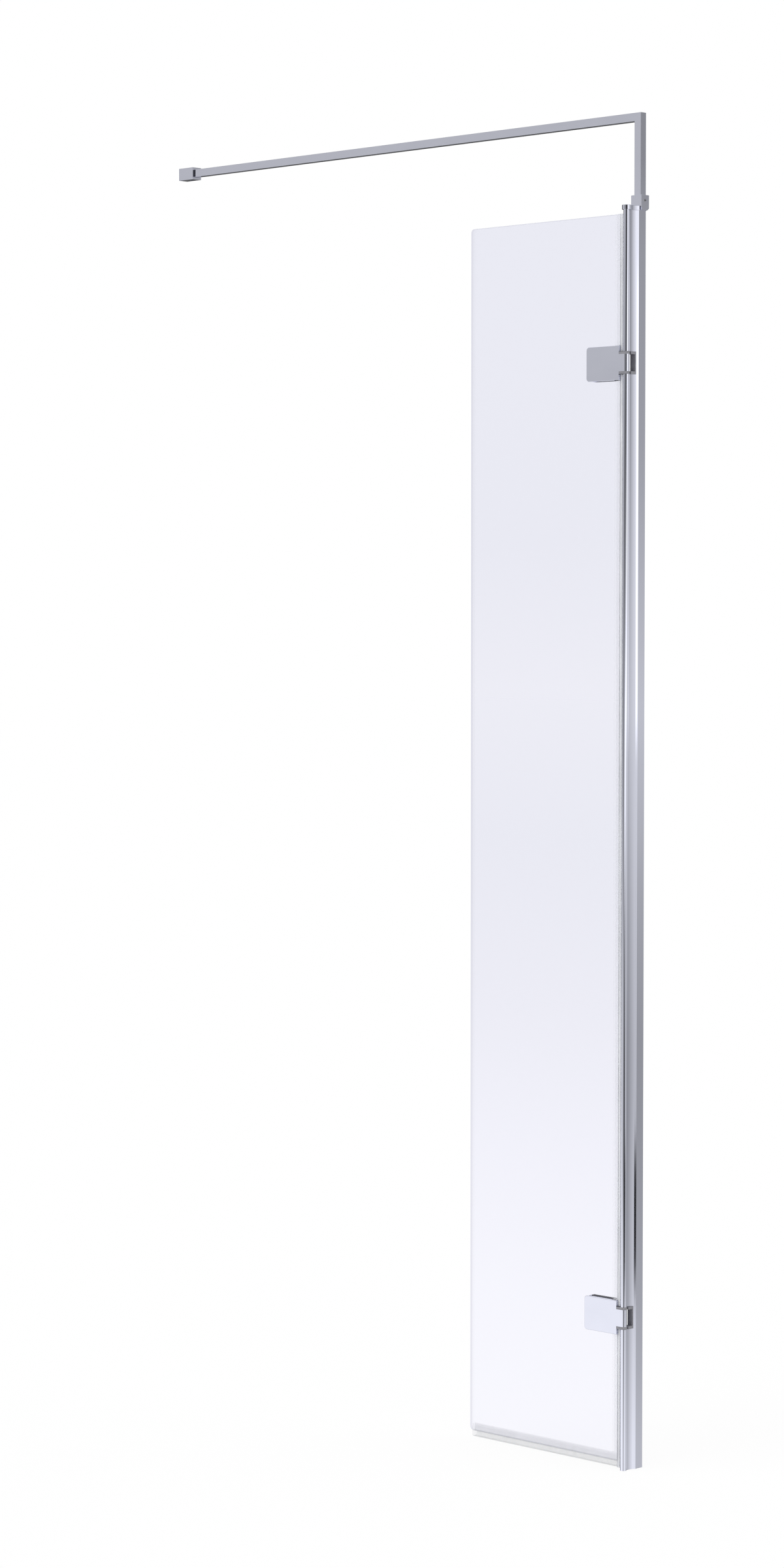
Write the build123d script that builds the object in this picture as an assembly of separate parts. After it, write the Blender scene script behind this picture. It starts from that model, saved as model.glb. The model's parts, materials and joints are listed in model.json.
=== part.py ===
from build123d import *
import os

# Hinged wetroom screen, in millimetres.
# The hinge axis is the Z axis and the foot of the post is at Z = 0.
# The door glass and the support arm point along -X, to the wall.
# The channel behind the post opens along +Y, for the edge of a fixed glass.

# Driving dimensions
SCREEN_HEIGHT = 1850.0
GLASS = 8.0
DOOR_WIDTH = 300.0
WALL_X = -995.0
BAR = 12.0
UPPER_HINGE_Z = 1622.5
LOWER_HINGE_Z = 225.5

# Post profile
BEAD_R = 4.8
PIN_R = 2.0
CHANNEL_HALF = 6.0
CHANNEL_FRONT = 20.2
CHANNEL_BACK = 35.1
CHANNEL_WALL = 1.5
CHANNEL_WEB = 3.0
NECK_ROOT = (2.4, 3.6)
NECK_WAIST = (2.7, 12.6)
NECK_BLEND_R = 0.5
CAP_THICKNESS = 6.5
PROFILE_TOP = SCREEN_HEIGHT - CAP_THICKNESS

# Hinge notch in the post and what fills it
NOTCH_HEIGHT = 33.0
NOTCH_BACK = 16.0
LINER_BACK_WALL = 2.0
KNUCKLE_HEIGHT = 25.0
SPACER_GAP = (NOTCH_HEIGHT - KNUCKLE_HEIGHT) / 2
RUNNING_GAP = 0.05
SWING_GAP = 0.3
PIN_GRIP = 14.0
PIN_CHAMFER = 0.4
LINER_CORNER_R = 0.8

# Door glass and its place behind the hinge axis
GLASS_FRONT = 0.2
GLASS_BACK = GLASS_FRONT + GLASS
GLASS_RIGHT = -12.3
GLASS_LEFT = GLASS_RIGHT - DOOR_WIDTH
GLASS_FOOT = 12.5
GLASS_TOP = 1838.0
GLASS_CORNER_R = 6.0
GLASS_ARRIS = 0.5

# Hinge clamp on the door glass
PLATE_LEFT = -73.5
PLATE_RIGHT = -10.5
PLATE_HEIGHT = 50.0
PLATE_CORNER_R = 5.0
PLATE_EDGE_R = 0.5
GASKET = 1.0
GASKET_MARGIN = 1.0
REAR_PLATE = 7.5
WEB_LEFT = -24.8
CUTOUT_LEFT = -25.3
CUTOUT_CLEARANCE = 0.5
CUTOUT_CORNER_R = 4.0
BOSS_X = -52.0
BOSS_R = 5.0
GLASS_HOLE_R = 7.0
WEB_SCREW_X = -17.5
WEB_SCREW_DZ = 14.0
SCREW_R = 2.5
SCREW_HEAD_R = 5.0
SCREW_HOLE_R = 2.75
SCREW_END_Y = 1.5

# Seals
SEAL_WALL = 1.0
SEAL_LEG = 10.0
SEAL_FOOT = 3.0
BULB_R = 3.2
BULB_WALL = 0.7
BULB_CENTRE = (-8.4, 2.2)
FOOT_LEG = 11.0
FOOT_BULB_R = 3.2
FOOT_WALL = 0.9
FOOT_SEAL_LEFT = GLASS_LEFT + 6.0

# Post top cap
CAP_BEAD_R = 7.0
CAP_ROOT = (4.6, 4.0)
CAP_WAIST = (4.8, 12.6)
CAP_SHOULDER = (7.5, 19.5)
CAP_BACK = 20.5
CAP_TONGUE_BACK = 36.5
CAP_EDGE_R = 0.6
CAP_PEG_LENGTH = 12.0
CAP_SPIGOT_DEPTH = 5.5

# Bar clamp
ARM_Y = 29.25
ARM_Z = 1979.3
CLAMP_WIDTH = 20.0
CLAMP_DEPTH = 17.0
CLAMP_FOOT = 1844.2
CLAMP_TOP = 1866.0
CLAMP_FLOOR = 3.0
CLAMP_CHAMFER = 3.0
CLAMP_EDGE_R = 0.4
SOCKET = BAR + 0.3
GRUB_R = 2.5
GRUB_SINK = 0.6
GRUB_Z = 1858.2
CLAMP_SCREW_R = 2.0
CLAMP_SCREW_HOLE_R = 2.2
CLAMP_SCREW_HEAD_R = 4.0
CLAMP_SCREW_END = 1840.0
BAR_EDGE_R = 0.4

# Wall bracket
BRACKET_LENGTH = 33.5
BRACKET_DEPTH = 18.5
BRACKET_HEIGHT = 19.5
BRACKET_BACK_WALL = 5.0
BRACKET_SCREW_R = 2.5
BRACKET_GRUB_X = -975.0
BAR_END_GAP = 4.0

# Hexagon sockets, and how far a cutter runs past the face that it opens
HINGE_HEXAGON = 3.0
CLAMP_HEXAGON = 2.5
HEXAGON_DEPTH = 1.5
OVERSHOOT = 1.0

HINGES = {"upper": UPPER_HINGE_Z, "lower": LOWER_HINGE_Z}


def block(x0, x1, y0, y1, z0, z1):
    """A box between two corners."""
    return Pos((x0 + x1) / 2, (y0 + y1) / 2, (z0 + z1) / 2) * Box(x1 - x0, y1 - y0, z1 - z0)


def upright(radius, z0, z1, x=0.0, y=0.0):
    """A cylinder along Z."""
    return Pos(x, y, (z0 + z1) / 2) * Cylinder(radius, z1 - z0)


def along_y(radius, y0, y1, x, z):
    """A cylinder along Y."""
    return Pos(x, (y0 + y1) / 2, z) * Rot(90, 0, 0) * Cylinder(radius, y1 - y0)


def along_x(radius, x0, x1, y, z):
    """A cylinder along X."""
    return Pos((x0 + x1) / 2, y, z) * Rot(0, 90, 0) * Cylinder(radius, x1 - x0)


def hexagon_socket(across_flats):
    """A socket cutter for a face at Z = 0 that looks to -Z."""
    radius = across_flats / 3 ** 0.5
    prism = extrude(RegularPolygon(radius, 6), OVERSHOOT + HEXAGON_DEPTH)
    return Pos(0, 0, -OVERSHOOT) * prism


def coved_outline(root, waist, shoulder, back):
    """The part of a section behind the bead: a cove each side, then straight sides."""
    shoulder_x, shoulder_y = shoulder
    right = ThreePointArc(root, waist, shoulder)
    left = ThreePointArc((-shoulder_x, shoulder_y), (-waist[0], waist[1]), (-root[0], root[1]))
    sides = Polyline(shoulder, (shoulder_x, back), (-shoulder_x, back), (-shoulder_x, shoulder_y))
    front = Line((-root[0], root[1]), root)
    return make_face(Curve() + [right, sides, left, front])


def blended(section):
    """Soften the two inner corners where the bead meets the coves."""
    corners = [vertex for vertex in section.vertices() if 0 < vertex.Y < 2 * BEAD_R]
    return fillet(corners, NECK_BLEND_R)


def post_section():
    """Bead, coves and glass channel of the extrusion, with the pin's bore along the bead."""
    slot_half = CHANNEL_HALF - CHANNEL_WALL
    slot_floor = CHANNEL_FRONT + CHANNEL_WEB
    slot_depth = CHANNEL_BACK - slot_floor
    body = coved_outline(NECK_ROOT, NECK_WAIST, (CHANNEL_HALF, CHANNEL_FRONT), CHANNEL_BACK)
    slot = Pos(0, slot_floor + slot_depth / 2) * Rectangle(2 * slot_half, slot_depth)
    section = blended(body + Circle(BEAD_R)) - slot
    return section - Circle(PIN_R)


def post_profile():
    """The extrusion with a notch cut from the front at each hinge."""
    post = extrude(post_section(), PROFILE_TOP)
    for z in HINGES.values():
        half = NOTCH_HEIGHT / 2
        front = -BEAD_R - OVERSHOOT
        post -= block(-CHANNEL_HALF, CHANNEL_HALF, front, NOTCH_BACK, z - half, z + half)
    return post


def post_top_cap():
    """The cap: proud of the bead and coves, with a tongue over the channel and a peg in the bead."""
    plate = blended(Circle(CAP_BEAD_R) + coved_outline(CAP_ROOT, CAP_WAIST, CAP_SHOULDER, CAP_BACK))
    cap = Pos(0, 0, PROFILE_TOP) * extrude(plate, CAP_THICKNESS)
    rim = cap.faces().sort_by(Axis.Z)[-1].edges().filter_by(GeomType.CIRCLE)
    cap = fillet(rim, CAP_EDGE_R)
    tongue_front = CAP_SHOULDER[1]
    cap += block(
        -CHANNEL_HALF, CHANNEL_HALF, tongue_front, CAP_TONGUE_BACK, PROFILE_TOP, SCREEN_HEIGHT
    )
    slot_half = CHANNEL_HALF - CHANNEL_WALL
    cap += block(
        -slot_half, slot_half, CHANNEL_FRONT + CHANNEL_WEB, CHANNEL_BACK,
        PROFILE_TOP - CAP_SPIGOT_DEPTH, PROFILE_TOP,
    )
    cap += upright(PIN_R, PROFILE_TOP - CAP_PEG_LENGTH, PROFILE_TOP)
    cap -= upright(CLAMP_SCREW_R, CLAMP_SCREW_END, SCREEN_HEIGHT, y=ARM_Y)
    return cap


def hinge_liner(z):
    """The moulded C in a notch: an arm above, an arm below and a back wall."""
    half = NOTCH_HEIGHT / 2
    arm_front = BEAD_R + SWING_GAP
    liner = block(-BEAD_R, BEAD_R, arm_front, NOTCH_BACK, z - half, z + half)
    pocket_half = half - SPACER_GAP
    pocket_back = NOTCH_BACK - LINER_BACK_WALL
    liner -= block(-BEAD_R, BEAD_R, 0, pocket_back, z - pocket_half, z + pocket_half)
    inner_corners = liner.edges().filter_by(Axis.X).group_by(Axis.Y)[-2]
    return fillet(inner_corners, LINER_CORNER_R)


def hinge_pin(z):
    """The pin, gripped by the bead above and below the notch."""
    reach = NOTCH_HEIGHT / 2 + PIN_GRIP
    pin = upright(PIN_R, z - reach, z + reach)
    ends = pin.edges().filter_by(GeomType.CIRCLE)
    return chamfer(ends, PIN_CHAMFER)


def tab_outline():
    """The shape seen from above that the tab and its spacers share: a knuckle with a straight tab."""
    tab = Pos(PLATE_RIGHT / 2, 0) * Rectangle(-PLATE_RIGHT, 2 * BEAD_R)
    return tab + Circle(BEAD_R) - Circle(PIN_R + RUNNING_GAP)


def hinge_spacers(z):
    """Moulded spacers above and below the knuckle, with the outline of the tab."""
    thickness = SPACER_GAP - SWING_GAP
    spacer = extrude(tab_outline(), thickness)
    above = Pos(0, 0, z + KNUCKLE_HEIGHT / 2) * spacer
    below = Pos(0, 0, z - KNUCKLE_HEIGHT / 2 - thickness) * spacer
    return [above, below]


def rounded_plate(y0, y1, z):
    """A clamp plate with its two free corners rounded."""
    half = PLATE_HEIGHT / 2
    plate = block(PLATE_LEFT, PLATE_RIGHT, y0, y1, z - half, z + half)
    free_corners = plate.edges().filter_by(Axis.Y).group_by(Axis.X)[0]
    return fillet(free_corners, PLATE_CORNER_R)


def soft_rim(plate, outer_face):
    """Round the rim of a plate's outer face, but not the end that meets the knuckle."""
    rim = outer_face.edges().sort_by(Axis.X)[:-1]
    return fillet(rim, PLATE_EDGE_R)


def hinge_leaf(z):
    """Front plate, web through the glass cut-out, boss, tab and knuckle, in one casting."""
    inner_face = GLASS_FRONT - GASKET
    rear_face = GLASS_BACK + GASKET
    half = PLATE_HEIGHT / 2
    plate = rounded_plate(-BEAD_R, inner_face, z)
    leaf = soft_rim(plate, plate.faces().sort_by(Axis.Y)[0])
    web = block(WEB_LEFT, PLATE_RIGHT, inner_face, rear_face, z - half, z + half)
    web_corners = web.edges().filter_by(Axis.Y).group_by(Axis.X)[0]
    leaf += fillet(web_corners, CUTOUT_CORNER_R)
    leaf += along_y(BOSS_R, inner_face, rear_face, BOSS_X, z)
    leaf += Pos(0, 0, z - KNUCKLE_HEIGHT / 2) * extrude(tab_outline(), KNUCKLE_HEIGHT)
    for x, screw_z in screw_places(z):
        leaf -= along_y(SCREW_R, SCREW_END_Y, rear_face, x, screw_z)
    return leaf


def screw_places(z):
    """Where the three screws of one hinge are."""
    return [(BOSS_X, z), (WEB_SCREW_X, z - WEB_SCREW_DZ), (WEB_SCREW_X, z + WEB_SCREW_DZ)]


def countersink(x, y_back, z, head_r, shank_r):
    """A cone along Y whose wide end is at the plate's back face."""
    depth = head_r - shank_r
    cone = Cone(shank_r, head_r, depth)
    return Pos(x, y_back - depth / 2, z) * Rot(-90, 0, 0) * cone


def hinge_rear_plate(z):
    """The rear plate, with a countersunk hole for each screw."""
    front = GLASS_BACK + GASKET
    back = front + REAR_PLATE
    plate = rounded_plate(front, back, z)
    plate = soft_rim(plate, plate.faces().sort_by(Axis.Y)[-1])
    for x, screw_z in screw_places(z):
        plate -= along_y(SCREW_HOLE_R, front, back, x, screw_z)
        plate -= countersink(x, back, screw_z, SCREW_HEAD_R, SCREW_R)
    return plate


def hinge_screws(z):
    """Countersunk socket screws, from the back of the rear plate into the leaf."""
    back = GLASS_BACK + GASKET + REAR_PLATE
    screws = []
    for x, screw_z in screw_places(z):
        screw = along_y(SCREW_R, SCREW_END_Y, back - SCREW_HEAD_R + SCREW_R, x, screw_z)
        screw += countersink(x, back, screw_z, SCREW_HEAD_R, SCREW_R)
        screw -= Pos(x, back, screw_z) * Rot(90, 0, 0) * hexagon_socket(HINGE_HEXAGON)
        screws.append(screw)
    return screws


def hinge_gasket(y0, z):
    """A clamping gasket between a plate and the glass."""
    half = PLATE_HEIGHT / 2 - GASKET_MARGIN
    left = PLATE_LEFT + GASKET_MARGIN
    right = CUTOUT_LEFT - GASKET_MARGIN
    gasket = block(left, right, y0, y0 + GASKET, z - half, z + half)
    return gasket - along_y(BOSS_R, y0, y0 + GASKET, BOSS_X, z)


def hinge_bush(z):
    """The bush round the boss in the glass hole."""
    bush = along_y(GLASS_HOLE_R, GLASS_FRONT, GLASS_BACK, BOSS_X, z)
    return bush - along_y(BOSS_R, GLASS_FRONT, GLASS_BACK, BOSS_X, z)


def door_glass():
    """The door glass, with arrised edges, a cut-out and a hole at each hinge."""
    pane = block(GLASS_LEFT, GLASS_RIGHT, GLASS_FRONT, GLASS_BACK, GLASS_FOOT, GLASS_TOP)
    free_corners = pane.edges().filter_by(Axis.Y).group_by(Axis.X)[0]
    pane = fillet(free_corners, GLASS_CORNER_R)
    faces = pane.faces().filter_by(Axis.Y)
    pane = chamfer(faces.edges(), GLASS_ARRIS)
    for z in HINGES.values():
        half = PLATE_HEIGHT / 2 + CUTOUT_CLEARANCE
        right = GLASS_RIGHT + OVERSHOOT
        cutout = block(CUTOUT_LEFT, right, GLASS_FRONT, GLASS_BACK, z - half, z + half)
        inner_corners = cutout.edges().filter_by(Axis.Y).group_by(Axis.X)[0]
        pane -= fillet(inner_corners, CUTOUT_CORNER_R)
        pane -= along_y(GLASS_HOLE_R, GLASS_FRONT, GLASS_BACK, BOSS_X, z)
    return pane


def side_seal_section(with_legs):
    """Legs on both faces of the glass, a base over its edge and a hollow bulb towards the bead."""
    base_right = GLASS_RIGHT + SEAL_WALL
    y_mid = (GLASS_FRONT + GLASS_BACK) / 2
    outer_depth = GLASS + 2 * SEAL_WALL
    centre = Pos(*BULB_CENTRE)
    base = Pos((GLASS_RIGHT + base_right) / 2, y_mid) * Rectangle(SEAL_WALL, outer_depth)
    section = base + centre * Circle(BULB_R) - centre * Circle(BULB_R - BULB_WALL)
    section += base
    if with_legs:
        for y in (GLASS_FRONT - SEAL_WALL / 2, GLASS_BACK + SEAL_WALL / 2):
            section += Pos(GLASS_RIGHT - SEAL_LEG / 2, y) * Rectangle(SEAL_LEG, SEAL_WALL)
    return section


def side_seal(z0, z1):
    """One length of the side seal. Below the bottom seal's legs only its base and bulb go on."""
    leg_foot = GLASS_FOOT + FOOT_LEG + SWING_GAP
    if z0 >= leg_foot:
        return Pos(0, 0, z0) * extrude(side_seal_section(True), z1 - z0)
    upper = Pos(0, 0, leg_foot) * extrude(side_seal_section(True), z1 - leg_foot)
    return upper + Pos(0, 0, z0) * extrude(side_seal_section(False), leg_foot - z0)


def bottom_seal():
    """Legs on both faces of the glass, a base under it and a hollow foot with rounded corners."""
    y0 = GLASS_FRONT - SEAL_WALL
    y1 = GLASS_BACK + SEAL_WALL
    base_z = GLASS_FOOT - SEAL_WALL
    x0 = FOOT_SEAL_LEFT
    x1 = GLASS_RIGHT
    leg_top = GLASS_FOOT + FOOT_LEG
    foot = block(x0, x1, y0, y1, SEAL_FOOT, base_z)
    foot = fillet(foot.edges().filter_by(Axis.X).group_by(Axis.Z)[0], FOOT_BULB_R)
    hollow = block(x0, x1, y0 + FOOT_WALL, y1 - FOOT_WALL, SEAL_FOOT + FOOT_WALL, base_z)
    hollow = fillet(hollow.edges().filter_by(Axis.X).group_by(Axis.Z)[0], FOOT_BULB_R - FOOT_WALL)
    channel = block(x0, x1, y0, y1, base_z, leg_top)
    channel -= block(x0, x1, GLASS_FRONT, GLASS_BACK, GLASS_FOOT, leg_top)
    return foot - hollow + channel


def support_arm():
    """A square bar: a riser out of the clamp and, from its mitred corner, the run to the wall."""
    half = BAR / 2
    run_left = WALL_X + BRACKET_BACK_WALL + BAR_END_GAP
    riser = block(-half, half, ARM_Y - half, ARM_Y + half, SCREEN_HEIGHT + CLAMP_FLOOR, ARM_Z + half)
    run = block(run_left, half, ARM_Y - half, ARM_Y + half, ARM_Z - half, ARM_Z + half)
    arm = riser + run
    long_edges = [edge for edge in arm.edges() if edge.length > 2 * BAR]
    return fillet(long_edges, BAR_EDGE_R)


def bar_clamp():
    """The block on the post top: legs beside the cap's tongue below, a square socket above."""
    half_x = CLAMP_WIDTH / 2
    half_y = CLAMP_DEPTH / 2
    clamp = block(-half_x, half_x, ARM_Y - half_y, ARM_Y + half_y, CLAMP_FOOT, CLAMP_TOP)
    rear_foot_edge = clamp.edges().filter_by(Axis.X).group_by(Axis.Z)[0].sort_by(Axis.Y)[-1]
    clamp = chamfer(rear_foot_edge, CLAMP_CHAMFER)
    clamp = fillet(clamp.edges().filter_by(Axis.Z), CLAMP_EDGE_R)
    clamp = fillet(clamp.faces().sort_by(Axis.Z)[-1].edges(), CLAMP_EDGE_R)
    clamp -= block(
        -CHANNEL_HALF, CHANNEL_HALF, ARM_Y - half_y, ARM_Y + half_y, CLAMP_FOOT, SCREEN_HEIGHT
    )
    floor = SCREEN_HEIGHT + CLAMP_FLOOR
    half_socket = SOCKET / 2
    clamp -= block(
        -half_socket, half_socket, ARM_Y - half_socket, ARM_Y + half_socket, floor, CLAMP_TOP
    )
    clamp -= along_x(GRUB_R, 0, half_x, ARM_Y, GRUB_Z)
    clamp -= upright(CLAMP_SCREW_HOLE_R, SCREEN_HEIGHT, floor, y=ARM_Y)
    return clamp - clamp_screw_head()


def clamp_screw_head():
    """The countersunk head, flush with the socket's floor."""
    depth = CLAMP_SCREW_HEAD_R - CLAMP_SCREW_R
    top = SCREEN_HEIGHT + CLAMP_FLOOR
    return Pos(0, ARM_Y, top - depth / 2) * Cone(CLAMP_SCREW_R, CLAMP_SCREW_HEAD_R, depth)


def bar_clamp_fixing_screw():
    """The screw from the socket's floor down into the cap."""
    top = SCREEN_HEIGHT + CLAMP_FLOOR
    neck = top - CLAMP_SCREW_HEAD_R + CLAMP_SCREW_R
    screw = clamp_screw_head() + upright(CLAMP_SCREW_R, CLAMP_SCREW_END, neck, y=ARM_Y)
    return screw - Pos(0, ARM_Y, top) * Rot(180, 0, 0) * hexagon_socket(CLAMP_HEXAGON)


def bar_clamp_grub_screw():
    """The grub screw in the clamp's outer side, against the riser."""
    tip = BAR / 2
    outer = CLAMP_WIDTH / 2 - GRUB_SINK
    screw = along_x(GRUB_R, tip, outer, ARM_Y, GRUB_Z)
    return screw - Pos(outer, ARM_Y, GRUB_Z) * Rot(0, -90, 0) * hexagon_socket(CLAMP_HEXAGON)


def wall_bracket():
    """The socket block at the wall, with a screw hole through its back wall."""
    right = WALL_X + BRACKET_LENGTH
    half_y = BRACKET_DEPTH / 2
    half_z = BRACKET_HEIGHT / 2
    bracket = block(WALL_X, right, ARM_Y - half_y, ARM_Y + half_y, ARM_Z - half_z, ARM_Z + half_z)
    bracket = fillet(bracket.edges().filter_by(Axis.X), CLAMP_EDGE_R)
    bracket = fillet(bracket.faces().sort_by(Axis.X)[-1].edges(), CLAMP_EDGE_R)
    socket_back = WALL_X + BRACKET_BACK_WALL
    half_socket = SOCKET / 2
    bracket -= block(
        socket_back, right, ARM_Y - half_socket, ARM_Y + half_socket,
        ARM_Z - half_socket, ARM_Z + half_socket,
    )
    bracket -= along_x(BRACKET_SCREW_R, WALL_X, socket_back, ARM_Y, ARM_Z)
    return bracket - upright(GRUB_R, ARM_Z - half_z, ARM_Z, BRACKET_GRUB_X, ARM_Y)


def wall_bracket_grub_screw():
    """The grub screw in the bracket's underside, against the bar."""
    outer = ARM_Z - BRACKET_HEIGHT / 2 + GRUB_SINK
    tip = ARM_Z - BAR / 2
    screw = upright(GRUB_R, outer, tip, BRACKET_GRUB_X, ARM_Y)
    return screw - Pos(BRACKET_GRUB_X, ARM_Y, outer) * hexagon_socket(CLAMP_HEXAGON)


def save(node, shape):
    """Write one node's STEP file."""
    shapes = shape if isinstance(shape, list) else [shape]
    solids = [solid for item in shapes for solid in item.solids()]
    whole = solids[0] if len(solids) == 1 else Compound(children=solids)
    whole.label = node
    export_step(whole, f"parts/{node}.step")


def build():
    """Make every node."""
    os.makedirs("parts", exist_ok=True)
    save("post_profile", post_profile())
    save("post_top_cap", post_top_cap())
    save("bar_clamp", bar_clamp())
    save("bar_clamp_fixing_screw", bar_clamp_fixing_screw())
    save("bar_clamp_grub_screw", bar_clamp_grub_screw())
    save("support_arm", support_arm())
    save("wall_bracket", wall_bracket())
    save("wall_bracket_grub_screw", wall_bracket_grub_screw())
    save("door_glass", door_glass())
    save("bottom_seal", bottom_seal())
    for name, z in HINGES.items():
        save(f"hinge_liner_{name}", hinge_liner(z))
        save(f"hinge_pin_{name}", hinge_pin(z))
        save(f"hinge_spacers_{name}", hinge_spacers(z))
        save(f"hinge_leaf_{name}", hinge_leaf(z))
        save(f"hinge_rear_plate_{name}", hinge_rear_plate(z))
        save(f"hinge_screws_{name}", hinge_screws(z))
        save(f"hinge_front_gasket_{name}", hinge_gasket(GLASS_FRONT - GASKET, z))
        save(f"hinge_rear_gasket_{name}", hinge_gasket(GLASS_BACK, z))
        save(f"hinge_bush_{name}", hinge_bush(z))
    seal_stop = PLATE_HEIGHT / 2 + CUTOUT_CLEARANCE
    save("side_seal_top", side_seal(UPPER_HINGE_Z + seal_stop, GLASS_TOP))
    save("side_seal_middle", side_seal(LOWER_HINGE_Z + seal_stop, UPPER_HINGE_Z - seal_stop))
    save("side_seal_bottom", side_seal(SEAL_FOOT, LOWER_HINGE_Z - seal_stop))


build()
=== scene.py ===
import json
import math

import bmesh
import bpy
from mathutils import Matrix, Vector


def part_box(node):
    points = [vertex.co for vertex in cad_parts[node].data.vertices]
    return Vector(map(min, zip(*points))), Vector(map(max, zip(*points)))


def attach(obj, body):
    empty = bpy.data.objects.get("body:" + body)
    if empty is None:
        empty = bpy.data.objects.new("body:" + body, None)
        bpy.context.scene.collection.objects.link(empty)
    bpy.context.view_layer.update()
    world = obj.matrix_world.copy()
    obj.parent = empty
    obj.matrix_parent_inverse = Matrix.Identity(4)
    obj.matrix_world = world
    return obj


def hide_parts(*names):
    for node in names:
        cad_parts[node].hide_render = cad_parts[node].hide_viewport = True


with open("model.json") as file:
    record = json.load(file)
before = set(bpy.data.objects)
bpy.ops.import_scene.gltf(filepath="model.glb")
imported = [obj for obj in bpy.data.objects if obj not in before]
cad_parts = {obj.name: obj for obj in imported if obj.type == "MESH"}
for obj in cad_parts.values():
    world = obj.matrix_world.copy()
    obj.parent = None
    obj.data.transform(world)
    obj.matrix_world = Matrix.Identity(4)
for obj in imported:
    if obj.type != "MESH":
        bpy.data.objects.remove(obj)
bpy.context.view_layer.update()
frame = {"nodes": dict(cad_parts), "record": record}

# The hinged wetroom screen, dressed. Metres and degrees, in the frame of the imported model:
# the hinge axis is the Z axis, the door glass runs along -X and the glass channel opens along +Y.

# Camera of the photograph
CAMERA_PLACE = Vector((3.57418, -4.05511, 1.24580))
CAMERA_TURN = 45.0
CAMERA_PITCH = -2.5
CAMERA_LENS = 85.0
CAMERA_SENSOR = 36.0

# Seals, in mm: where their legs and bases lie across the glass, and their walls
SEAL_OUTER = (-0.8, 9.2)
SEAL_INNER = (0.15, 8.25)
LEG_TIP = 0.4
LEG_TAPER = 5.5
SIDE_SEAL_BASE = (-12.25, -11.3)
SIDE_SEAL_LEG = 10.05
SIDE_SEAL_LEGS_FOOT = 23.8
BULB_CENTRE = (-8.4, 2.2)
BULB_R = 3.2
BULB_WALL = 0.7
NOTCHED_BULB_LEFT = -10.3
UPPER_HINGE_Z = 1622.5
LOWER_HINGE_Z = 225.5
NOTCH_SEAL_STOP = 17.0
FOOT_SEAL_ENDS = (-306.3, -12.3)
FOOT_LOW = 3.0
FOOT_BASE_LOW = 11.5
FOOT_BASE_TOP = 12.45
FOOT_LEG_TOP = 23.5
FOOT_R = 3.2
FOOT_WALL = 0.9

# Radius of the door glass's free corners, in metres
GLASS_CORNER_R = 0.006

# Floor and light
FLOOR_HALF_SIZE = 40.0
FLOOR_WHITE = 0.95
FLOOR_SHADOW_SHARE = 0.07
WORLD_LEVEL = 0.74

# Studio that the bright metal and the glass reflect, as panels standing round the object. Each has
# the bearing where it starts, in degrees from +X towards +Y, how softly it starts, and its levels
# from low to high, each at an elevation in degrees. A level of 1 is white.
LEFT_WALL = [(-24, 0.6), (-13, 1.12), (-9.5, 1.0), (-6.5, 0.8), (-4, 0.55), (-1.5, 0.45),
             (0.5, 0.43), (2.5, 0.52), (4.5, 0.6), (8, 0.57), (12, 0.55), (30, 0.7), (60, 0.9)]
SIDE_GAP = [(-24, 0.6), (-11, 1.15), (-9.8, 0.9), (-8.4, 0.5), (-5, 0.38), (-2, 0.2), (1, 0.16),
            (3, 0.17), (6, 0.4), (12, 0.5), (40, 0.5)]
CAMERA_GAP = [(-24, 0.5), (-12.8, 0.7), (-10.9, 0.25), (-9, 0.07), (-7, 0.07), (-5.1, 0.25),
              (-3.9, 0.65), (-2.7, 1.25), (-1.2, 1.3), (-0.3, 0.8), (1, 0.35), (2.7, 0.13),
              (6, 0.06), (20, 0.1), (50, 0.4)]
SLIT = [(-24, 0.6), (-12.8, 1.0), (-10.02, 0.72), (-9.98, 0.01), (-8.02, 0.01), (-7.98, 0.6),
        (-5, 0.66), (-1.85, 0.8), (-1.8, 1.4), (5.3, 1.4), (5.35, 1.1), (12, 1.0), (50, 0.9)]
FRONT_WALL = [(-24, 0.6), (-12.8, 1.06), (-11.3, 0.87), (-9.8, 0.7), (-7, 0.59), (-5.7, 0.64),
              (-3.9, 0.72), (-0.9, 0.84), (1.5, 0.86), (3.3, 0.92), (5.9, 1.1), (12, 1.1),
              (50, 0.9)]
RIGHT_WALL = [(-24, 0.45), (-12.8, 0.61), (-10.5, 0.46), (-8, 0.375), (-6.4, 0.37), (-4.5, 0.455),
              (-2.1, 0.625), (-1.7, 0.685), (0.3, 0.57), (1.5, 0.49), (3, 0.41), (6, 0.37),
              (7, 0.3), (12, 0.27), (50, 0.6)]
BRIGHT_STRIP = [(-24, 0.6), (-12.8, 1.0), (-10.9, 0.6), (-9.3, 0.2), (-8, 0.25), (-5, 0.5),
                (-2.1, 0.6), (-1.9, 1.4), (5.4, 1.4), (5.6, 0.9), (12, 0.8), (50, 0.8)]
BACK = [(-90, 0.5), (-30, 0.3), (-12, 0.12), (0, 0.11), (12, 0.12), (50, 0.4)]
PANELS = [(-168, 6, LEFT_WALL), (-118, 10, SIDE_GAP), (-76, 8, CAMERA_GAP), (-28, 1, SLIT),
          (-2, 1, FRONT_WALL), (25, 50, RIGHT_WALL), (66, 4, BRIGHT_STRIP), (84, 10, BACK)]


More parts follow.
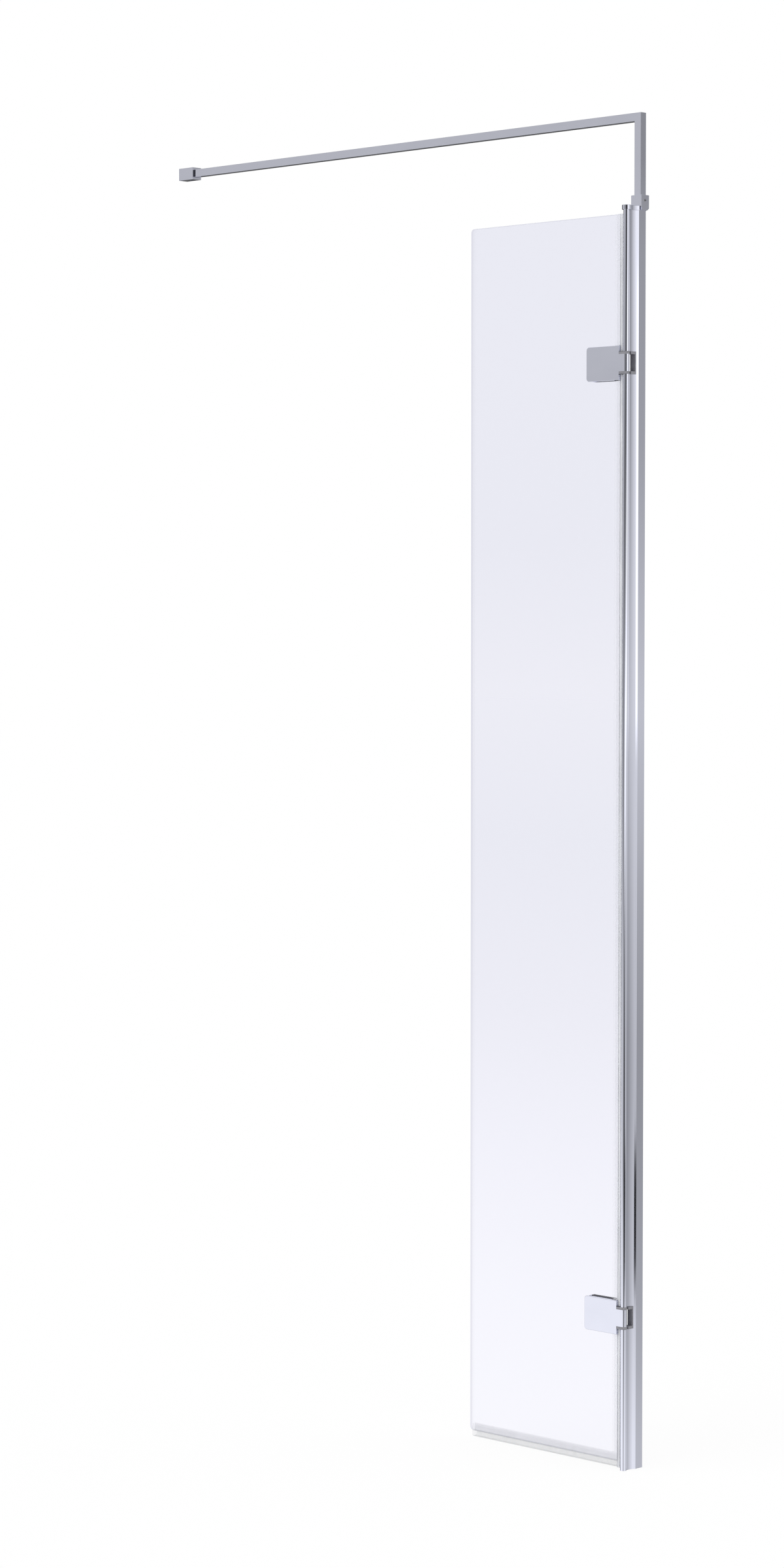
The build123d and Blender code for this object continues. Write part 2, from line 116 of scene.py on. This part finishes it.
class Graph:
    """Shorthand for building one node tree."""

    def __init__(self, tree):
        self.tree = tree
        tree.nodes.clear()

    def node(self, kind, inputs=None, **settings):
        """Add a node. An input is a plain value or another node's output."""
        made = self.tree.nodes.new("ShaderNode" + kind)
        for name, value in settings.items():
            setattr(made, name, value)
        for key, value in (inputs or {}).items():
            if isinstance(value, bpy.types.NodeSocket):
                self.tree.links.new(value, made.inputs[key])
            else:
                made.inputs[key].default_value = value
        return made

    def math(self, operation, a, b=0.0, clamp=False):
        return self.node("Math", {0: a, 1: b}, operation=operation, use_clamp=clamp).outputs[0]

    def rescale(self, value, low, high, to_low=0.0, to_high=1.0):
        """Map low..high to to_low..to_high, clamped."""
        inputs = {"Value": value, "From Min": low, "From Max": high, "To Min": to_low, "To Max": to_high}
        return self.node("MapRange", inputs).outputs["Result"]

    def ramp(self, value, stops, interpolation="LINEAR"):
        """A colour ramp. A stop's level is a grey or a colour."""
        made = self.node("ValToRGB", {"Fac": value})
        elements = made.color_ramp.elements
        made.color_ramp.interpolation = interpolation
        while len(elements) < len(stops):
            elements.new(1.0)
        for element, (position, level) in zip(elements, stops):
            element.position = position
            element.color = (*level, 1.0) if isinstance(level, tuple) else (level, level, level, 1.0)
        return made.outputs["Color"]

    def noise(self, vector, scale, detail=3.0):
        return self.node("TexNoise", {"Vector": vector, "Scale": scale, "Detail": detail}).outputs["Fac"]

    def stretched(self, scale):
        """The object's own coordinates, scaled along each axis."""
        place = self.node("TexCoord").outputs["Object"]
        return self.node("Mapping", {"Vector": place, "Scale": scale}).outputs["Vector"]

    def bump(self, height, distance, strength=1.0):
        inputs = {"Height": height, "Distance": distance, "Strength": strength}
        return self.node("Bump", inputs).outputs["Normal"]


def make_camera():
    data = bpy.data.cameras.new("camera")
    data.lens = CAMERA_LENS
    data.sensor_width = CAMERA_SENSOR
    data.clip_end = 200.0
    camera = bpy.data.objects.new("camera", data)
    camera.location = CAMERA_PLACE
    camera.rotation_euler = (math.radians(90 + CAMERA_PITCH), 0, math.radians(CAMERA_TURN))
    bpy.context.scene.collection.objects.link(camera)
    bpy.context.scene.camera = camera


def studio_level(graph):
    """How bright the studio is in each direction, for reflections."""
    direction = graph.node("TexCoord").outputs["Generated"]
    parts = graph.node("SeparateXYZ", {0: direction})
    x, y, z = (parts.outputs[name] for name in "XYZ")
    height = graph.rescale(graph.math("ARCSINE", z), -math.pi / 2, math.pi / 2)
    bearing = graph.math("MULTIPLY", graph.math("ARCTAN2", y, x), 180 / math.pi)
    level = graph.ramp(height, [((angle + 90) / 180, share / 2) for angle, share in BACK])
    for start, softness, levels in PANELS:
        panel = graph.ramp(height, [((angle + 90) / 180, share / 2) for angle, share in levels])
        begun = graph.rescale(bearing, start - softness / 2, start + softness / 2)
        level = graph.node("Mix", {0: begun, 6: level, 7: panel}, data_type="RGBA").outputs[2]
    return graph.node("VectorMath", {0: level, "Scale": 2.0}, operation="SCALE").outputs[0]


def make_world():
    """White behind the object, an even white for diffuse light, and the studio for reflections."""
    world = bpy.data.worlds.new("studio")
    bpy.context.scene.world = world
    world.use_nodes = True
    graph = Graph(world.node_tree)
    rays = graph.node("LightPath")
    white = graph.math("MAXIMUM", rays.outputs["Is Camera Ray"], rays.outputs["Is Transmission Ray"])
    even = graph.node("Background", {"Color": (1, 1, 1, 1), "Strength": WORLD_LEVEL}).outputs[0]
    studio = graph.node("Background", {"Color": studio_level(graph)}).outputs[0]
    backdrop = graph.node("Background", {"Color": (1, 1, 1, 1)}).outputs[0]
    glossy = rays.outputs["Is Glossy Ray"]
    lit = graph.node("MixShader", {0: glossy, 1: even, 2: studio}).outputs[0]
    seen = graph.node("MixShader", {0: white, 1: lit, 2: backdrop}).outputs[0]
    graph.node("OutputWorld", {"Surface": seen})


def make_lamp(name, strength, tilt, bearing, spread):
    """A soft sun that lights diffuse surfaces but isn't mirrored in the metal."""
    data = bpy.data.lights.new(name, "SUN")
    data.energy = strength
    data.angle = math.radians(spread)
    lamp = bpy.data.objects.new(name, data)
    lamp.rotation_euler = (math.radians(tilt), 0, math.radians(bearing))
    lamp.visible_glossy = False
    lamp.visible_transmission = False
    bpy.context.scene.collection.objects.link(lamp)


def make_floor():
    mesh = bpy.data.meshes.new("floor")
    h = FLOOR_HALF_SIZE
    mesh.from_pydata([(-h, -h, 0), (h, -h, 0), (h, h, 0), (-h, h, 0)], [], [(0, 1, 2, 3)])
    floor = bpy.data.objects.new("floor", mesh)
    bpy.context.scene.collection.objects.link(floor)
    floor.visible_glossy = False
    material = bpy.data.materials.new("pale_floor")
    material.use_nodes = True
    graph = Graph(material.node_tree)
    rays = graph.node("LightPath")
    white = graph.math("MAXIMUM", rays.outputs["Is Camera Ray"], rays.outputs["Is Transmission Ray"])
    share = graph.math("MULTIPLY", white, 1.0 - FLOOR_SHADOW_SHARE)
    paint = graph.node("BsdfDiffuse", {"Color": (FLOOR_WHITE, FLOOR_WHITE, FLOOR_WHITE, 1)}).outputs[0]
    glow = graph.node("Emission", {"Color": (1, 1, 1, 1)}).outputs[0]
    graph.node("OutputMaterial", {0: graph.node("MixShader", {0: share, 1: paint, 2: glow}).outputs[0]})
    mesh.materials.append(material)


def new_material(name):
    material = bpy.data.materials.new(name)
    material.use_nodes = True
    return material, Graph(material.node_tree)


def finish_material(graph, **inputs):
    shader = graph.node("BsdfPrincipled", {key.replace("_", " "): value for key, value in inputs.items()})
    graph.node("OutputMaterial", {0: shader.outputs[0]})


def chrome(name):
    """Polished chrome plate: a faint orange peel, with fine smears that dull it here and there."""
    material, graph = new_material(name)
    smears = graph.noise(graph.stretched((14, 14, 30)), 1.0, 5.0)
    peel = graph.noise(graph.stretched((700, 700, 700)), 1.0, 2.0)
    finish_material(
        graph,
        Base_Color=graph.ramp(smears, [(0.3, (0.745, 0.76, 0.865)), (0.7, (0.775, 0.79, 0.895))]),
        Metallic=1.0,
        Roughness=graph.rescale(smears, 0.3, 0.75, 0.03, 0.07),
        Normal=graph.bump(peel, 0.000002),
    )
    return material


def bright_aluminium():
    """Bright-dipped extrusion: hairline die lines along its length."""
    material, graph = new_material("bright_aluminium")
    lines = graph.noise(graph.stretched((1600, 1600, 0.7)), 1.0, 2.0)
    clouds = graph.noise(graph.stretched((9, 9, 2.5)), 1.0, 4.0)
    finish_material(
        graph,
        Base_Color=graph.ramp(clouds, [(0.3, (0.745, 0.76, 0.865)), (0.7, (0.775, 0.79, 0.895))]),
        Metallic=1.0,
        Roughness=graph.rescale(lines, 0.3, 0.7, 0.03, 0.06),
        Normal=graph.bump(lines, 0.000001),
    )
    return material


def clear_glass():
    """Clear toughened glass with a faint lavender cast, painted lighter towards the bottom and in a band
    above the middle as painted reflection, and frosted where its edges are ground.
    """
    material, graph = new_material("clear_glass")
    low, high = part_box("door_glass")
    parts = graph.node("SeparateXYZ", {0: graph.node("TexCoord").outputs["Object"]})
    x, z = parts.outputs["X"], parts.outputs["Z"]
    sides = graph.math("MINIMUM", graph.math("SUBTRACT", x, low.x), graph.math("SUBTRACT", high.x, x))
    ends = graph.math("MINIMUM", graph.math("SUBTRACT", z, low.z), graph.math("SUBTRACT", high.z, z))
    across = graph.math("MAXIMUM", graph.math("SUBTRACT", low.x + GLASS_CORNER_R, x), 0.0)
    above = graph.math("SUBTRACT", z, high.z - GLASS_CORNER_R)
    below = graph.math("SUBTRACT", low.z + GLASS_CORNER_R, z)
    along = graph.math("MAXIMUM", graph.math("MAXIMUM", above, below), 0.0)
    from_centre = graph.math("SQRT", graph.math("ADD", graph.math("MULTIPLY", across, across),
                                                graph.math("MULTIPLY", along, along)))
    corners = graph.math("SUBTRACT", GLASS_CORNER_R, from_centre)
    nearest = graph.math("MINIMUM", graph.math("MINIMUM", sides, ends), corners)
    ground = graph.rescale(nearest, 0.0006, 0.0004)
    # Painted reflection: the lavender tint is the glass's own, but the ramp makes it lighter towards the
    # bottom and in a band a little above the middle. These stand in for what the pane reflects, and the
    # band for the horizon.
    tint_and_painted_reflection = graph.ramp(
        graph.rescale(z, low.z, high.z),
        [(0.0, (0.935, 0.935, 0.995)), (0.12, (0.92, 0.92, 0.99)), (0.25, (0.885, 0.885, 0.965)),
         (0.36, (0.85, 0.85, 0.93)), (0.5, (0.835, 0.84, 0.92)), (0.62, (0.87, 0.87, 0.945)),
         (0.74, (0.835, 0.84, 0.92)), (1.0, (0.835, 0.84, 0.92))],
    )
    grit = graph.noise(graph.stretched((2500, 2500, 2500)), 1.0, 2.0)
    pane = graph.node("BsdfPrincipled", {
        "Base Color": tint_and_painted_reflection, "Roughness": 0.0, "IOR": 1.52, "Transmission Weight": 1.0})
    frost = graph.node("BsdfPrincipled", {
        "Base Color": (0.8, 0.81, 0.86, 1), "Roughness": 0.5, "Normal": graph.bump(grit, 0.00001)})
    seen_through = graph.node("BsdfTransparent", {"Color": (0.82, 0.82, 0.87, 1)})
    inside = graph.node("NewGeometry").outputs["Backfacing"]
    edge = graph.node("MixShader", {0: inside, 1: frost.outputs[0], 2: seen_through.outputs[0]})
    shader = graph.node("MixShader", {0: ground, 1: pane.outputs[0], 2: edge.outputs[0]})
    graph.node("OutputMaterial", {0: shader.outputs[0]})
    return material


def shade(level):
    """A pale grey of that level, a little blue."""
    return (level, level + 0.01, level + 0.05)


def clear_seal(name, axis, tip, root, milkiness, whiteness, bulb_haze=0.0):
    """Clear extruded seal: a milky haze that thins from root to tip of its legs, and flow lines.

    axis is the letter of the coordinate that runs along the legs, and tip and root are in metres.
    milkiness is how much one skin hides, whiteness is its level, and bulb_haze is how much more the
    hollow bulb hides than a leg.
    """
    material, graph = new_material(name)
    parts = graph.node("SeparateXYZ", {0: graph.node("TexCoord").outputs["Object"]})
    thin = graph.rescale(parts.outputs[axis], tip, root, 0.5, 1.0)
    at_bulb = graph.rescale(parts.outputs["X"], -0.0125, -0.0115, 0.0, bulb_haze)
    thickness = graph.math("ADD", thin, at_bulb)
    flow = graph.noise(graph.stretched((900, 900, 6)), 1.0, 2.0)
    cloud = graph.noise(graph.stretched((60, 60, 12)), 1.0, 3.0)
    grazing = graph.node("LayerWeight", {"Blend": 0.35}).outputs["Facing"]
    haze = graph.math("ADD", graph.math("MULTIPLY", graph.math("POWER", grazing, 3.0), 0.45), milkiness)
    uneven = graph.math("MULTIPLY", haze, graph.rescale(cloud, 0.3, 0.7, 0.85, 1.15))
    cover = graph.math("MULTIPLY", uneven, thickness, clamp=True)
    skin = graph.node("BsdfPrincipled", {
        "Base Color": graph.ramp(cloud, [(0.3, shade(whiteness - 0.04)), (0.7, shade(whiteness + 0.02))]),
        "Roughness": graph.rescale(cloud, 0.3, 0.7, 0.16, 0.28),
        "Normal": graph.bump(flow, 0.00001),
    })
    clear = graph.node("BsdfTransparent", {"Color": (0.99, 0.99, 0.99, 1)})
    shader = graph.node("MixShader", {0: cover, 1: clear.outputs[0], 2: skin.outputs[0]})
    graph.node("OutputMaterial", {0: shader.outputs[0]})
    return material


def grey_nylon():
    """Moulded nylon: fine spark-eroded grain."""
    material, graph = new_material("grey_nylon")
    grain = graph.noise(graph.stretched((2600, 2600, 2600)), 1.0, 2.0)
    cloud = graph.noise(graph.stretched((120, 120, 120)), 1.0, 3.0)
    finish_material(
        graph,
        Base_Color=graph.ramp(cloud, [(0.3, (0.215, 0.215, 0.24)), (0.7, (0.265, 0.265, 0.29))]),
        Roughness=graph.rescale(grain, 0.3, 0.7, 0.42, 0.6),
        Normal=graph.bump(grain, 0.00002),
    )
    return material


def steel():
    """Plain stainless screws and pins, turned, with fine rings."""
    material, graph = new_material("steel")
    rings = graph.noise(graph.stretched((1500, 1500, 1500)), 1.0, 3.0)
    finish_material(
        graph,
        Base_Color=graph.ramp(rings, [(0.3, (0.48, 0.48, 0.50)), (0.7, (0.60, 0.60, 0.62))]),
        Metallic=1.0,
        Roughness=graph.rescale(rings, 0.3, 0.7, 0.22, 0.36),
        Normal=graph.bump(rings, 0.00001),
    )
    return material


def gasket():
    """Pale clamping gasket: matt, slightly mottled rubber."""
    material, graph = new_material("gasket")
    mottle = graph.noise(graph.stretched((500, 500, 500)), 1.0, 4.0)
    finish_material(
        graph,
        Base_Color=graph.ramp(mottle, [(0.3, (0.66, 0.67, 0.69)), (0.7, (0.76, 0.77, 0.79))]),
        Roughness=graph.rescale(mottle, 0.3, 0.7, 0.7, 0.9),
        Normal=graph.bump(mottle, 0.00003),
    )
    return material


def dress_nodes():
    """Give every CAD node the material of its slot."""
    finishes = {
        "bright_aluminium": bright_aluminium(),
        "chrome": chrome("chrome"),
        "steel": steel(),
        "clear_glass": clear_glass(),
        "clear_seal": clear_seal("clear_seal", "Z", 0.0, 0.001, 0.1, 0.7),
        "grey_nylon": grey_nylon(),
        "gasket": gasket(),
    }
    for part in frame["record"]["subparts"]:
        node = frame["nodes"][part["node"]]
        node.data.materials.clear()
        node.data.materials.append(finishes[part["material_slot"]])


def arc(centre, radius, start, end, steps):
    """Points along an arc, in mm."""
    points = []
    for step in range(steps + 1):
        angle = math.radians(start + (end - start) * step / steps)
        points.append((centre[0] + radius * math.cos(angle), centre[1] + radius * math.sin(angle)))
    return points


def add_extrusion(bm, loops, start, end, upright):
    """Add a solid to bm: closed loops in mm, run along Z if upright, else along X with loops in Y, Z."""
    rims = {start: [], end: []}
    for loop in loops:
        rings = {}
        for along in (start, end):
            places = [(a, b, along) if upright else (along, a, b) for a, b in loop]
            rings[along] = [bm.verts.new(Vector(place) / 1000) for place in places]
        for i in range(len(loop)):
            first, second = rings[start], rings[end]
            j = (i + 1) % len(loop)
            bm.faces.new((first[i], first[j], second[j], second[i]))
            for along in (start, end):
                rims[along].append(bm.edges.get((rings[along][i], rings[along][j])))
    for edges in rims.values():
        bmesh.ops.triangle_fill(bm, edges=edges, use_beauty=True)


def finish_piece(name, bm, body, nodes, material):
    """Make an object of bm that rides on a body and stands for CAD nodes."""
    bmesh.ops.recalc_face_normals(bm, faces=bm.faces)
    mesh = bpy.data.meshes.new(name)
    bm.to_mesh(mesh)
    bm.free()
    mesh.shade_smooth()
    mesh.set_sharp_from_angle(angle=math.radians(35))
    mesh.materials.append(material)
    piece = bpy.data.objects.new(name, mesh)
    bpy.context.scene.collection.objects.link(piece)
    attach(piece, body)
    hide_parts(*nodes)
    return piece


def side_seal_loops(with_legs):
    """Plan section of the side seal: tapered legs, a base over the glass edge, and a hollow bulb."""
    front, back = SEAL_OUTER
    inner_front, inner_back = SEAL_INNER
    base_left, base_right = SIDE_SEAL_BASE
    left = base_left - SIDE_SEAL_LEG
    bulb = arc(BULB_CENTRE, BULB_R, -155, 155, 40)
    right_side = [(base_right - 0.3, front), (base_right, front + 0.3), *bulb, (base_right, back - 0.3),
                  (base_right - 0.3, back)]
    if with_legs:
        front_leg = [(base_left, inner_front), (left, inner_front), (left, inner_front - LEG_TIP),
                     (left + LEG_TAPER, front)]
        back_leg = [(left + LEG_TAPER, back), (left, inner_back + LEG_TIP), (left, inner_back),
                    (base_left, inner_back)]
    else:
        front_leg = [(base_left, front)]
        back_leg = [(base_left, back)]
    return [front_leg + right_side + back_leg, arc(BULB_CENTRE, BULB_R - BULB_WALL, 0, 351, 39)]


def notched_bulb_loops():
    """Where a hinge clamps the glass, the seal is cut back to its bulb, and the cut is closed."""
    reach = math.degrees(math.acos((NOTCHED_BULB_LEFT - BULB_CENTRE[0]) / BULB_R))
    outer = arc(BULB_CENTRE, BULB_R, -reach, reach, 34)
    inner_left = NOTCHED_BULB_LEFT + BULB_WALL - BULB_CENTRE[0]
    inner_reach = math.degrees(math.acos(inner_left / (BULB_R - BULB_WALL)))
    return [outer, arc(BULB_CENTRE, BULB_R - BULB_WALL, -inner_reach, inner_reach, 30)]


def side_seal(name, foot, top, material, bulb_foot=None, bulb_top=None):
    """One length of the side seal. Its legs start above the legs of the bottom seal."""
    bm = bmesh.new()
    if bulb_foot:
        add_extrusion(bm, notched_bulb_loops(), bulb_foot, foot, True)
    if bulb_top:
        add_extrusion(bm, notched_bulb_loops(), top, bulb_top, True)
    legs_foot = max(foot, SIDE_SEAL_LEGS_FOOT)
    add_extrusion(bm, side_seal_loops(True), legs_foot, top, True)
    if foot < legs_foot:
        add_extrusion(bm, side_seal_loops(False), foot, legs_foot, True)
    finish_piece(name + "_clear", bm, "door", [name], material)


def bottom_seal(material):
    """Bottom seal: tapered legs, a base under the glass and a hollow foot with rounded corners."""
    front, back = SEAL_OUTER
    inner_front, inner_back = SEAL_INNER
    low, high = FOOT_LOW, FOOT_LEG_TOP
    taper = high - LEG_TAPER
    r = FOOT_R
    outer = [(inner_front, high), (inner_front - LEG_TIP, high), (front, taper),
             *arc((front + r, low + r), r, 180, 270, 10), *arc((back - r, low + r), r, 270, 360, 10),
             (back, taper), (inner_back + LEG_TIP, high), (inner_back, high), (inner_back, FOOT_BASE_TOP),
             (inner_front, FOOT_BASE_TOP)]
    r -= FOOT_WALL
    front += FOOT_WALL
    back -= FOOT_WALL
    low += FOOT_WALL
    hollow = [(back, FOOT_BASE_LOW), (front, FOOT_BASE_LOW), *arc((front + r, low + r), r, 180, 270, 8),
              *arc((back - r, low + r), r, 270, 360, 8)]
    bm = bmesh.new()
    add_extrusion(bm, [outer, hollow], FOOT_SEAL_ENDS[0], FOOT_SEAL_ENDS[1], False)
    finish_piece("bottom_seal_clear", bm, "door", ["bottom_seal"], material)


def make_seals():
    """The clear seals, a hair clear of the glass so that it still refracts behind them."""
    # Painted light: the side seal's skin is set lighter than the bottom seal's, and its bulb haze is
    # thickened so that this skin covers the bulb. This brightens the bulb where it lies in shade.
    side_material = clear_seal("side_seal_clear", "X", -0.0223, -0.014, 0.085, 0.88, 6.5)
    spans = {}
    for name in ("side_seal_bottom", "side_seal_middle", "side_seal_top"):
        low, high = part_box(name)
        spans[name] = (low.z * 1000, high.z * 1000)
    lower = (LOWER_HINGE_Z - NOTCH_SEAL_STOP, LOWER_HINGE_Z + NOTCH_SEAL_STOP)
    upper = (UPPER_HINGE_Z - NOTCH_SEAL_STOP, UPPER_HINGE_Z + NOTCH_SEAL_STOP)
    side_seal("side_seal_bottom", *spans["side_seal_bottom"], side_material, None, lower[0])
    side_seal("side_seal_middle", *spans["side_seal_middle"], side_material, lower[1], upper[0])
    side_seal("side_seal_top", *spans["side_seal_top"], side_material, upper[1], None)
    bottom_seal(clear_seal("bottom_seal_clear", "Z", 0.0235, 0.0185, 0.115, 0.64))


make_camera()
make_world()
make_lamp("key", 0.9, 50, -20, 50)
make_lamp("fill", 0.5, 40, 110, 60)
make_floor()
dress_nodes()
make_seals()
bpy.context.scene.view_settings.view_transform = "Standard"
